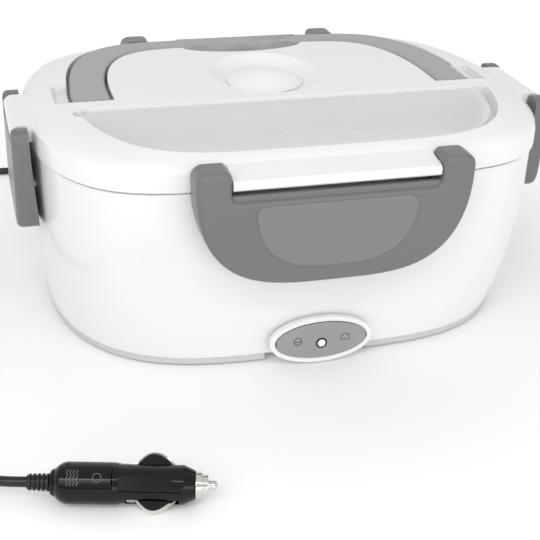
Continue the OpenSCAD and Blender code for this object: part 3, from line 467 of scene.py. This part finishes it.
def latch_shape(half, inner, reach, low, pivot_z, top, back, p, q, corner, border, drop):
    bm = bmesh.new()
    notch = pivot_z - drop
    outline = []
    for i in range(1, 60):
        turn = math.radians(180 * i / 60)
        outline.append((half * squared(math.cos(turn), p),
                        pivot_z - (pivot_z - low) * squared(math.sin(turn), q)))
    outline += [(-half, pivot_z), (-half, top), (-inner, top), (-inner, notch),
                (inner, notch), (inner, top), (half, top), (half, pivot_z)]
    verts = [bm.verts.new((x, -reach, z)) for x, z in outline]
    bm.faces.new(verts)
    # counted from the end of the outline: the ears' outer and inner corners, then the corners of the notch
    for corners, radius in (((-7, -2), corner), ((-6, -3), border + 0.6), ((-5, -4), 2.6)):
        bmesh.ops.bevel(bm, geom=[verts[i] for i in corners], offset=radius, offset_type="OFFSET", segments=5,
                        profile=0.5, affect="VERTICES", clamp_overlap=True, material=-1)
    bmesh.ops.remove_doubles(bm, verts=bm.verts, dist=0.01)
    extruded(bm, (0, reach + back, 0))
    ear_edges = edges_where(bm, lambda co: co.y > back - 0.01 and co.z > top - 0.01)
    rounded(bm, ear_edges, (top - pivot_z) * 0.8, 5)
    rounded(bm, edges_where(bm, lambda co: co.y < 0.01 - reach), border, 5)
    back_edges = edges_where(bm, lambda co: co.y > back - 0.01 and co.z < pivot_z - hollow_drop)
    rounded(bm, back_edges, 0.9, 3)
    return bm


def flat_shape(outline, y0, y1):
    bm = bmesh.new()
    bm.faces.new([bm.verts.new((x, y0, z)) for x, z in outline])
    extruded(bm, (0, y1 - y0, 0))
    return bm


def flap_outline(half, low, high, p, q, count=48):
    turns = [math.radians(180 * i / count) for i in range(count + 1)]
    return [(half * squared(math.cos(t), p), high - (high - low) * squared(math.sin(t), q)) for t in turns]


def badge_outline(half, low, high, p, q, corner):
    side = [(x, z) for x, z in flap_outline(half, low, high, p, q) if z < high - corner]
    turns = [math.radians(15 * i) for i in range(7)]
    left = [(-half + corner - corner * math.cos(t), high - corner + corner * math.sin(t)) for t in turns]
    right = [(half - corner + corner * math.sin(t), high - corner + corner * math.cos(t)) for t in turns]
    return side + left + right


def latch(half, inner, reach, low, pivot_y, pivot_z, ear, back, p, q, corner, border, drop, wall=2.2):
    pin_hole_r, slant_top, slant, hook_low, hook_high = 2.46, 85, 0.07, 63.8, 66.2
    bm = latch_shape(half, inner, reach, low, pivot_z, pivot_z + ear, back, p, q, corner, border, drop)
    inside = flap_outline(half - wall, low + wall, pivot_z, p, q, 96)
    hollow = [(x, z) for x, z in inside if z < pivot_z - hollow_drop]
    bm = carved(bm, flat_shape(hollow, wall - reach, back + 2))
    bm = carved(bm, block((-inner + 1, wall - reach, pivot_z - 13), (inner - 1, back + 2, pivot_z - 2)))
    bm = carved(bm, lying_pin(pin_hole_r, 2 * inner + 13, (0, pivot_y, pivot_z)))
    for vert in bm.verts:
        if vert.co.y > back - 0.05 and vert.co.z < slant_top:
            vert.co.y += slant * (slant_top - vert.co.z)
    hook = block((-0.4 * inner, 1 - reach, hook_low), (0.4 * inner, 0.2, hook_high))
    return gathered(bm, hook)


# %% Make the four latches
def turned(degrees, shift, edge):
    return (Matrix.Translation((0, shift, 0)) @ Matrix.Rotation(math.radians(degrees), 4, "Z")
            @ Matrix.Translation((0, -edge, 0)))


for name, degrees in (("latch_front", 0), ("latch_back", 180)):
    bm = latch(half=57, inner=43, reach=12.5, low=47, pivot_y=-6.5, pivot_z=91, ear=6, back=-0.6,
               p=3.6, q=2.3, corner=4.5, border=2.1, drop=6.6)
    lip = block((-43, -11, 83.5), (43, -8.8, 86.8))
    rounded(lip, edges_where(lip, lambda co: co.y < -10.9 and co.z > 86), 1.0, 3)
    badge = flat_shape(badge_outline(33.5, 54.5, 82.3, 3, 2.4, 4.5), -13.0, -11.5)
    rounded(badge, edges_where(badge, lambda co: co.y < -12.9), 0.45, 3)
    for face in badge.faces:
        face.material_index = 1
    bm = placed(gathered(bm, lip, badge), turned(degrees, 0, 84))
    moulding = finished(bm, name + "_moulding", name, grey_trim, (name,))
    # second material: the badge's lighter grey, painted light on the badge face
    moulding.data.materials.append(badge_painted_light_grey)
for name, degrees in (("latch_left", 270), ("latch_right", 90)):
    bm = latch(half=30, inner=21, reach=7, low=51.5, pivot_y=-3, pivot_z=92.2, ear=4, back=0.2,
               p=12, q=6, corner=3.6, border=2.6, drop=4.2)
    finished(placed(bm, turned(degrees, -6, 114)), name + "_moulding", name, grey_trim, (name,))

# %% [markdown]
# ## The carry handle
# The handle is a flat U that follows the lid's outline and folds down into a channel. Two oval rings are
# bridged into a band, the front part is cut away at the hinge line, and the band is given its thickness.
# The long top edges get a 1.8 mm radius, and the two ends are nearly half-round, because they turn inside
# the lid.

# %% Make the carry handle
handle_top, handle_thick = 99.4, 7
bm = bmesh.new()
oval_ring(bm, 92, 77, 6, 2.2, handle_top)
oval_ring(bm, 76, 65, 6, 2.2, handle_top)
bmesh.ops.bridge_loops(bm, edges=list(bm.edges))
bmesh.ops.bisect_plane(bm, geom=bm.verts[:] + bm.edges[:] + bm.faces[:], plane_co=(0, -9, 0),
                       plane_no=(0, -1, 0), clear_outer=True)
extruded(bm, (0, 0, -handle_thick))
near_top, near_low = handle_top - 0.1, handle_top - handle_thick + 0.1
rounded(bm, edges_where(bm, lambda co: co.y < -8.9 and (co.z > near_top or co.z < near_low)), 3.3, 6)
top_edges = [e for e in sharp_edges(bm) if e.calc_length() < 12 and all(v.co.z > near_top for v in e.verts)]
rounded(bm, top_edges, 1.8, 4)
pins = bmesh.new()
for side in (-1, 1):
    lying_pin(1.9, 7, (side * 76.5, -5.5, 95.9), pins)
# the handle's paler grey is painted top light
finished(gathered(bm, pins), "carry_handle_moulding", "handle", handle_painted_top_light_grey, ("carry_handle",))

# %% [markdown]
# ## The vent dish
# The vent cap sits in an oval bowl. The measured lid has the bowl's space with straight walls, and this
# ring of white plastic gives it the soft hollow curve of the real moulding.

# %% Curve the vent dish
dish_x, dish_y, dish_top, dish_deep, dish_floor, overlap = 26.05, 31.05, 98.95, 4.6, 94.2, 0.25
bm = bmesh.new()
for step in range(9):
    part = step / 8
    size = 1 - 0.3 * part
    height = dish_top - dish_deep * math.sin(part * math.pi / 2) ** 1.2
    oval_ring(bm, dish_x * size, dish_y * size, 2, 2, height, 96)
oval_ring(bm, dish_x * 0.7, dish_y * 0.7, 2, 2, dish_floor, 96)
for height in (dish_floor, dish_top - 0.05):
    oval_ring(bm, dish_x + overlap, dish_y + overlap, 2, 2, height, 96)
bmesh.ops.bridge_loops(bm, edges=list(bm.edges))
bmesh.ops.translate(bm, vec=(0, 18.5, 0), verts=bm.verts)
bmesh.ops.recalc_face_normals(bm, faces=bm.faces)
finished(bm, "vent_dish_curve", "lid", white_shell, ())

# %% [markdown]
# ## The lamp panel
# The oval panel is a thin pearl-grey plate with a fine dark rim, whose faces take a second material. Two
# plain signs lie beside the lamp: a round one with a bar, and a small box with a handle, drawn as fine
# tubes on the face.

# %% Helper for fine drawn lines
def drawn(lines, radius, closed=True):
    curve = bpy.data.curves.new("line", "CURVE")
    curve.dimensions = "3D"
    curve.bevel_depth = radius
    curve.bevel_resolution = 2
    for line in lines:
        path = curve.splines.new("POLY")
        path.points.add(len(line) - 1)
        for point, place in zip(path.points, line):
            point.co = (*place, 1)
        path.use_cyclic_u = closed and (Vector(line[0]) - Vector(line[-1])).length < 1.5
    holder = bpy.data.objects.new("line", curve)
    bpy.context.scene.collection.objects.link(holder)
    mesh = bpy.data.meshes.new_from_object(holder)
    bm = bmesh.new()
    bm.from_mesh(mesh)
    bpy.data.objects.remove(holder)
    bpy.data.curves.remove(curve)
    bpy.data.meshes.remove(mesh)
    return bm


# %% Make the lamp panel
pad_face, panel_z, lamp_z = -83.5, 11.8, 10.4
panel_face = pad_face - 0.3
panel_x, panel_h, rim_step = 20.4, 8.6, 0.3
bm = bmesh.new()
oval_ring(bm, panel_x, panel_h, 2, 2, 0, 96, fill=True)
bmesh.ops.rotate(bm, matrix=Matrix.Rotation(math.pi / 2, 3, "X"), verts=bm.verts)
bmesh.ops.translate(bm, vec=(0, panel_face, panel_z), verts=bm.verts)
bmesh.ops.inset_region(bm, faces=list(bm.faces), thickness=0.45, depth=0)
outer_edges = [e for e in bm.edges if len(e.link_faces) == 1]
skirt = bmesh.ops.extrude_edge_only(bm, edges=outer_edges)["geom"]
bmesh.ops.translate(bm, vec=(0, 0.8, 0), verts=verts_of(skirt))
bmesh.ops.holes_fill(bm, edges=[e for e in bm.edges if len(e.link_faces) == 1])
bmesh.ops.recalc_face_normals(bm, faces=bm.faces)
lamp_hole = bmesh.new()
bmesh.ops.create_cone(lamp_hole, cap_ends=True, segments=48, radius1=1.78, radius2=1.78, depth=6,
                      matrix=Matrix.Translation((0, pad_face, lamp_z)) @ Matrix.Rotation(math.pi / 2, 4, "X"))
bm = carved(bm, lamp_hole)
for face in bm.faces:
    middle = face.calc_center_median()
    if (middle.x / (panel_x - rim_step)) ** 2 + ((middle.z - panel_z) / (panel_h - rim_step)) ** 2 > 1:
        face.material_index = 1
panel = finished(bm, "lamp_panel_plate", "housing", panel_grey, ("lamp_panel",))
panel.data.materials.append(black_plastic)

# %% Draw the two signs
def sign(x, z):
    return (x, panel_face + 0.02, z)


circle = [sign(-10.6 + 1.75 * math.cos(math.radians(a)), 12.2 + 1.75 * math.sin(math.radians(a)))
          for a in range(0, 360, 12)]
bar = [sign(-10.6 + t, 11.95 + 0.12 * t * t) for t in (-1.7, -1.2, -0.6, 0, 0.6, 1.2, 1.7)]
box_corners = ((-1.8, -1.3), (1.8, -1.3), (1.95, 0.9), (0.8, 1.0), (0.7, 1.7), (-0.7, 1.7), (-0.8, 1.0),
               (-1.95, 0.9), (-1.8, -1.2))
box = [sign(10.6 + x, 12.1 + z) for x, z in box_corners]
signs = gathered(drawn([circle, box], 0.16), drawn([bar], 0.14, False))
finished(signs, "panel_signs", "housing", dark_rubber, ())

# %% [markdown]
# ## The car plug
# The plug lies on its side on the table, rolled half way over. Its parts are bodies of revolution, so
# each one starts as a half outline and is spun round the axis of the plug. The slots of the side
# contacts, the seat of the grip panel and the bright flat are cut afterwards. Every part is made along X
# and then moved to its place.

# %% Helpers for the plug
on_plug = (Matrix.Translation(plug_at) @ Matrix.Rotation(math.radians(plug_turn), 4, "Z")
           @ Matrix.Rotation(math.radians(plug_roll), 4, "X"))


def spun(profile, steps=72):
    bm = bmesh.new()
    verts = [bm.verts.new((x, 0, radius)) for x, radius in profile]
    edges = [bm.edges.new(pair) for pair in zip(verts, verts[1:])]
    bmesh.ops.spin(bm, geom=verts + edges, cent=(0, 0, 0), axis=(1, 0, 0), angle=math.tau, steps=steps,
                   use_merge=True)
    bmesh.ops.remove_doubles(bm, verts=bm.verts, dist=0.002)
    bmesh.ops.holes_fill(bm, edges=[e for e in bm.edges if len(e.link_faces) == 1])
    bmesh.ops.recalc_face_normals(bm, faces=bm.faces)
    return bm


def arc(middle_x, middle_r, radius, start, end, count=6):
    turns = [math.radians(start + (end - start) * i / count) for i in range(count + 1)]
    return [(middle_x + radius * math.cos(t), middle_r + radius * math.sin(t)) for t in turns]


# %% Make the plug's body
body_x = 8.4
profile = ([(body_x, 0), (body_x, 4.1)] + arc(body_x + 0.5, 4.1, 0.5, 180, 100, 3) + [(body_x + 1.4, 5.0)]
           + arc(body_x + 6.5, 1.5, 6.0, 146, 90, 8)
           + [(body_x + 22, 7.5), (body_x + 23.5, 7.42), (body_x + 25, 7.0), (body_x + 46.8, 7.0)]
           + arc(body_x + 46.9, 6.4, 0.6, 80, 40, 3)
           + [(body_x + 50.7, 5.3), (body_x + 51, 5.1), (body_x + 51, 3.6)]
           + [(body_x + 10, 3.6), (body_x + 10, 0)])
bm = spun(profile)
contact_x = body_x + 27
slot_half, past_body = 2.8, 12
for side in (1, -1):
    for start, end, depth in ((-0.3, 3.7, 5.4), (3, 18.7, 2.9)):
        low, high = sorted((depth * side, past_body * side))
        slot_cut = block((contact_x + start, -slot_half, low), (contact_x + end, slot_half, high))
        bm = carved(bm, slot_cut)
facet = block((body_x + 24, -9.5, -2.3), (body_x + 43, -6.45, 2.3))
bm = carved(bm, placed(facet, Matrix.Rotation(math.radians(12), 4, "X")))
grip_x = body_x + 3.6
bm = carved(bm, block((grip_x - 0.1, -9.5, -3.5), (grip_x + 18.7, -5.5, 3.5)))
ridge = block((body_x + 21.5, -7.75, -0.65), (body_x + 46, -6.2, 0.65))
rounded(ridge, list(ridge.edges), 0.3, 3)
bm = gathered(bm, placed(ridge, Matrix.Rotation(math.radians(42), 4, "X")))
finished(placed(bm, on_plug), "plug_body_moulding", "housing", black_plastic, ("plug_body",),
         40)

# %% Make the grip panel with its wavy lines
bm = bmesh.new()
verts = [bm.verts.new((grip_x + 0.15, 0, -7.62)), bm.verts.new((grip_x + 18.4, 0, -7.62))]
edge = bm.edges.new(verts)
bmesh.ops.rotate(bm, matrix=Matrix.Rotation(math.radians(-27 - 90), 3, "X"), verts=bm.verts)
bmesh.ops.spin(bm, geom=verts + [edge], cent=(0, 0, 0), axis=(1, 0, 0), angle=math.radians(54), steps=14)
pulled = bmesh.ops.extrude_face_region(bm, geom=list(bm.faces))["geom"]
for vert in verts_of(pulled):
    vert.co.y, vert.co.z = vert.co.y * 0.86, vert.co.z * 0.86
bmesh.ops.recalc_face_normals(bm, faces=bm.faces)
rounded(bm, sharp_edges(bm), 0.2, 2)


def surface(x, degrees):
    return (x, -7.64 * math.cos(math.radians(degrees)), 7.64 * math.sin(math.radians(degrees)))


waves = []
for k in range(4):
    wave_x = grip_x + 3 + 1.15 * k
    waves.append([surface(wave_x + 0.28 * math.sin(math.radians(a * 18)), a) for a in range(-22, 23, 2)])
ring = [surface(grip_x + 13.4 + 1.5 * math.cos(math.radians(a)), 12 * math.sin(math.radians(a)))
        for a in range(0, 360, 15)]
finished(placed(bm, on_plug), "plug_grip_panel", "housing", black_plastic, ("plug_grip",))
lines = gathered(drawn(waves, 0.13, False), drawn([ring], 0.13))
finished(placed(lines, on_plug), "plug_grip_lines", "housing", grey_trim, ())

# %% Make the ribbed relief, the metal nose and the side contacts
profile = [(0, 0), (0, 2.5)]
for rib in range(5):
    x = 0.5 + 1.6 * rib
    shoulder, crest = 2.85 + 0.06 * rib, 3.0 + 0.06 * rib
    profile += [(x, 2.4), (x + 0.12, shoulder), (x + 0.3, crest), (x + 0.9, crest), (x + 1.08, shoulder),
                (x + 1.2, 2.4)]
profile += [(body_x, 2.6), (body_x, 0)]
finished(placed(spun(profile, 48), on_plug), "plug_relief_ribs", "housing", lead_skin, ("plug_relief",),
         50)
neck = body_x + 51.02
profile = ([(neck, 1.86), (neck, 4.7)] + arc(neck + 0.5, 4.45, 0.5, 140, 60, 4) + [(neck + 2.1, 4.9)]
           + arc(neck + 2.1, 4.6, 0.3, 90, 0, 3) + [(neck + 2.4, 3.9)] + [(neck + 4.2, 3.9)]
           + arc(neck + 4.25, 3.55, 0.35, 90, 0, 3) + [(neck + 4.6, 1.86), (neck, 1.86)])
finished(placed(spun(profile), on_plug), "plug_collar_turned", "housing", bright_metal, ("plug_collar",),
         40)
profile = ([(neck - 7, 0), (neck - 7, 3), (neck - 1, 3), (neck - 1, 1.8), (neck + 5.2, 1.8),
            (neck + 5.5, 1.65), (neck + 5.8, 1.8)] + arc(neck + 6.2, 0, 1.8, 90, 0, 8))
finished(placed(spun(profile, 48), on_plug), "plug_tip_turned", "plug_tip", bright_metal, ("plug_tip",),
         40)


def arch(end):
    rise = smooth_run((3, 0, 6.2), (6.4, 0, 9.9), (7.4, 0, 10.45), (9.6, 0, 10.5), 8)
    return rise + smooth_run(rise[-1], (12.2, 0, 10.5), (14.2, 0, 8.6), end, 8)


def contact(side):
    bm = bmesh.new()
    path = [Vector((0, 0, 6.2)), Vector((3, 0, 6.2))] + arch((18, 0, 5.4))
    rows = []
    for point in path:
        width = 2.6 * min(1, 0.6 + point.x / 8, 0.6 + (18 - point.x) / 10)
        rows.append([bm.verts.new((contact_x + point.x, y, point.z * side)) for y in (-width, 0, width)])
    for a, b in zip(rows, rows[1:]):
        for k in (0, 1):
            bm.faces.new((a[k], a[k + 1], b[k + 1], b[k]))
    bmesh.ops.recalc_face_normals(bm, faces=bm.faces)
    bmesh.ops.solidify(bm, geom=list(bm.faces), thickness=-0.5 * side)
    bmesh.ops.recalc_face_normals(bm, faces=bm.faces)
    return bm


def contact_web(side):
    edge = [(2, 4.2)] + [(point.x, point.z - 0.35) for point in arch((17, 0, 6.0))] + [(17, 4.2)]
    web = flat_shape([(contact_x + x, z * side) for x, z in edge], -2.1, 2.1)
    rounded(web, sharp_edges(web), 0.25, 2)
    return web


for name, side in (("contact_upper", 1), ("contact_lower", -1)):
    spring, web = placed(contact(side), on_plug), placed(contact_web(side), on_plug)
    finished(spring, name + "_spring", name, bright_metal, (name,), 40)
    finished(web, name + "_web", name, black_plastic, (), 40)

# %% [markdown]
# ## Finishes on the remaining measured pieces
# The pieces below already have their real shape, so they keep it and only take a finish.

# %% Dress the measured pieces
dressed = (
    (dark_rubber, ("feet", "lead_tie", "connector_relief")),
    (steel, ("food_container", "base_screws", "heater_clamp", "clamp_screws", "tip_spring", "plug_fuse")),
    (inner_white, ("inner_tub", "lid_liner", "side_dish")),
    (silicone, ("lid_seal",)),
    (heater_alloy, ("heater_plate", "thermostat")),
    (ceramic, ("ptc_heaters", "thermal_fuse")),
    (mica, ("insulation_pad",)),
    (board_green, ("lamp_board",)),
    (lens_white, ("lamp_led", "lamp_lens")),
    (wire_red, ("wiring",)),
    (black_plastic, ("lamp_bezel", "ac_inlet", "dc_inlet", "dc_connector")),
    (bright_metal, ("ac_pins", "dc_pin")),
)
for material, names in dressed:
    for name in names:
        mesh = nodes[name].data
        mesh.materials.clear()
        mesh.materials.append(material)
print("measured pieces dressed:", sum(len(names) for material, names in dressed))

# %% [markdown]

# %% [markdown]
# ## Floor and light
# A plain white floor and a white surround, one large soft lamp above and to the left, a wide low one in
# front, and a narrow one whose reflection draws the bright line on glossy plastic. The floor glows a
# little of its own, more with the distance from the box, so it stays white to the edge of the picture;
# the weaker glow close to the box is a painted shade around it, added to its real shadow.

# %% Floor
bm = bmesh.new()
bmesh.ops.create_grid(bm, x_segments=1, y_segments=1, size=3)
floor_mesh = bpy.data.meshes.new("floor")
bm.to_mesh(floor_mesh)
bm.free()
floor = bpy.data.objects.new("floor", floor_mesh)
bpy.context.scene.collection.objects.link(floor)
floor_white, tree, shader = new_material("white_floor_painted_shade_near_box")
shader.inputs["Base Color"].default_value = linear("#F7F7F7")
shader.inputs["Roughness"].default_value = 0.9
shader.inputs["Specular IOR Level"].default_value = 0.1
path = add(tree, "LightPath")
seen = add(tree, "Math", {"operation": "MAXIMUM"},
           {0: path.outputs["Is Camera Ray"], 1: path.outputs["Is Glossy Ray"]})
away = add(tree, "VectorMath", {"operation": "LENGTH"}, {0: add(tree, "TexCoord").outputs["Object"]})
# weaker glow close to the box: painted shade on the floor around the box
rise = add(tree, "MapRange", Value=away.outputs["Value"], From_Min=0.13, From_Max=0.32, To_Min=0.06,
           To_Max=0.26)
glow_with_painted_shade = add(tree, "Math", {"operation": "MULTIPLY"}, {0: seen.outputs[0], 1: rise.outputs["Result"]})
glow = add(tree, "Emission", Color=(1, 1, 1, 1), Strength=glow_with_painted_shade.outputs[0])
both = add(tree, "AddShader", (), {0: shader.outputs[0], 1: glow.outputs[0]})
tree.links.new(both.outputs[0], tree.nodes["Material Output"].inputs["Surface"])
floor_mesh.materials.append(floor_white)
floor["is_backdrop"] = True


# %% Lamps and surround
def soft_lamp(name, place, aim, size, power):
    light = bpy.data.lights.new(name, "AREA")
    light.shape = "RECTANGLE"
    light.size, light.size_y = size
    light.energy = power
    lamp = bpy.data.objects.new(name, light)
    bpy.context.scene.collection.objects.link(lamp)
    lamp.location = place
    lamp.rotation_euler = (Vector(aim) - Vector(place)).to_track_quat("-Z", "Y").to_euler()
    return lamp


soft_lamp("key", (-0.8, -0.8, 0.9), (0, 0, 0.05), (0.8, 0.8), 3.5)
soft_lamp("front", (0.2, -1.5, 0.3), (0, 0, 0.05), (1.4, 0.4), 3.8)
soft_lamp("strip", (-0.1, -0.8, 1.0), (0, -0.1, 0.05), (1.2, 0.05), 2)
world = bpy.data.worlds.new("studio")
bpy.context.scene.world = world
world.use_nodes = True
tree = world.node_tree
background = tree.nodes["Background"]
path = add(tree, "LightPath")
seen = add(tree, "Math", {"operation": "MAXIMUM"},
           {0: path.outputs["Is Camera Ray"], 1: path.outputs["Is Transmission Ray"]})
level = add(tree, "MapRange", Value=seen.outputs[0], To_Min=0.74, To_Max=1.0)
background.inputs["Color"].default_value = (1, 1, 1, 1)
tree.links.new(level.outputs["Result"], background.inputs["Strength"])
bpy.context.scene.view_settings.view_transform = "Standard"

# %% Measure the bounds of the shown pieces
low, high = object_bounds()
